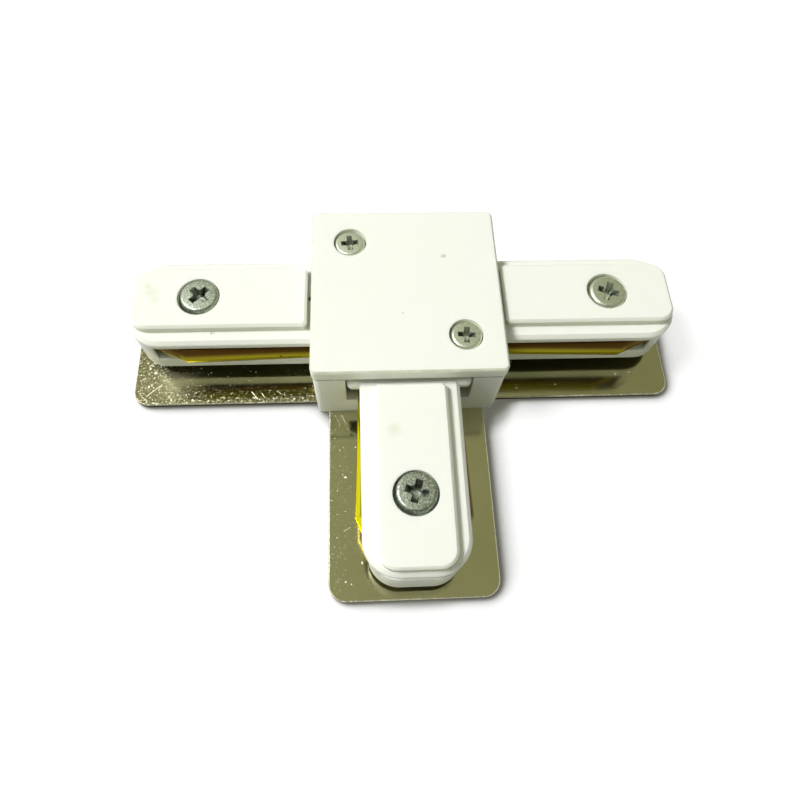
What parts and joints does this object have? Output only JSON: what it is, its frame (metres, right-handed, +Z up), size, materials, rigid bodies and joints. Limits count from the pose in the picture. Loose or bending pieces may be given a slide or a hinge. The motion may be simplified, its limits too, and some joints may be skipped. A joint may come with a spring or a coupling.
{
  "type": "lighting track connector",
  "caption": "T-shaped connector for lighting track: square box with screwed cover, grooved arms with brass side contacts, and a steel clamp plate drawn up by a screw in each arm.",
  "frame": {"origin": "middle of the junction box, on the flat underside of the clamp plate", "axes": "+X along the straight run of the T, -Y along the stem, +Z up through the cover"},
  "size_m": [0.1082, 0.0719, 0.0181],
  "materials": {
    "white_plastic": "moulded, satin",
    "brass": "rolled strip",
    "nickel_plate": "nickel plated steel sheet, worn",
    "zinc_screw": "zinc plated"
  },
  "bodies": {
    "housing": {"arm_body_left": "white_plastic", "arm_body_right": "white_plastic", "arm_body_stem": "white_plastic", "contact_strip_left_back": "brass", "contact_strip_left_front": "brass", "contact_strip_right_back": "brass", "contact_strip_right_front": "brass", "contact_strip_stem_left": "brass", "contact_strip_stem_right": "brass", "cover_screw_back_left": "zinc_screw", "cover_screw_front_right": "zinc_screw", "junction_box": "white_plastic", "lower_link": "brass", "top_cover": "white_plastic", "upper_link": "brass"},
    "plate": {"clamp_plate": "nickel_plate"},
    "screw_left": {"clamp_screw_left": "zinc_screw"},
    "screw_right": {"clamp_screw_right": "zinc_screw"},
    "screw_stem": {"clamp_screw_stem": "zinc_screw"}
  },
  "joints": [
    {"name": "housing_lift", "type": "slide", "parent": "plate", "child": "housing", "axis": [0, 0, 1], "range_m": [0, 0.0008]},
    {"name": "clamp_screw_left_turn", "type": "hinge", "parent": "plate", "child": "screw_left", "pos_m": [-0.0389, 0, 0.0138], "axis": [0, 0, 1], "range_deg": [-410, 720]},
    {"name": "clamp_screw_right_turn", "type": "hinge", "parent": "plate", "child": "screw_right", "pos_m": [0.0389, 0, 0.0138], "axis": [0, 0, 1], "range_deg": [-410, 720]},
    {"name": "clamp_screw_stem_turn", "type": "hinge", "parent": "plate", "child": "screw_stem", "pos_m": [0, -0.0389, 0.0138], "axis": [0, 0, 1], "range_deg": [-410, 720]}
  ]
}
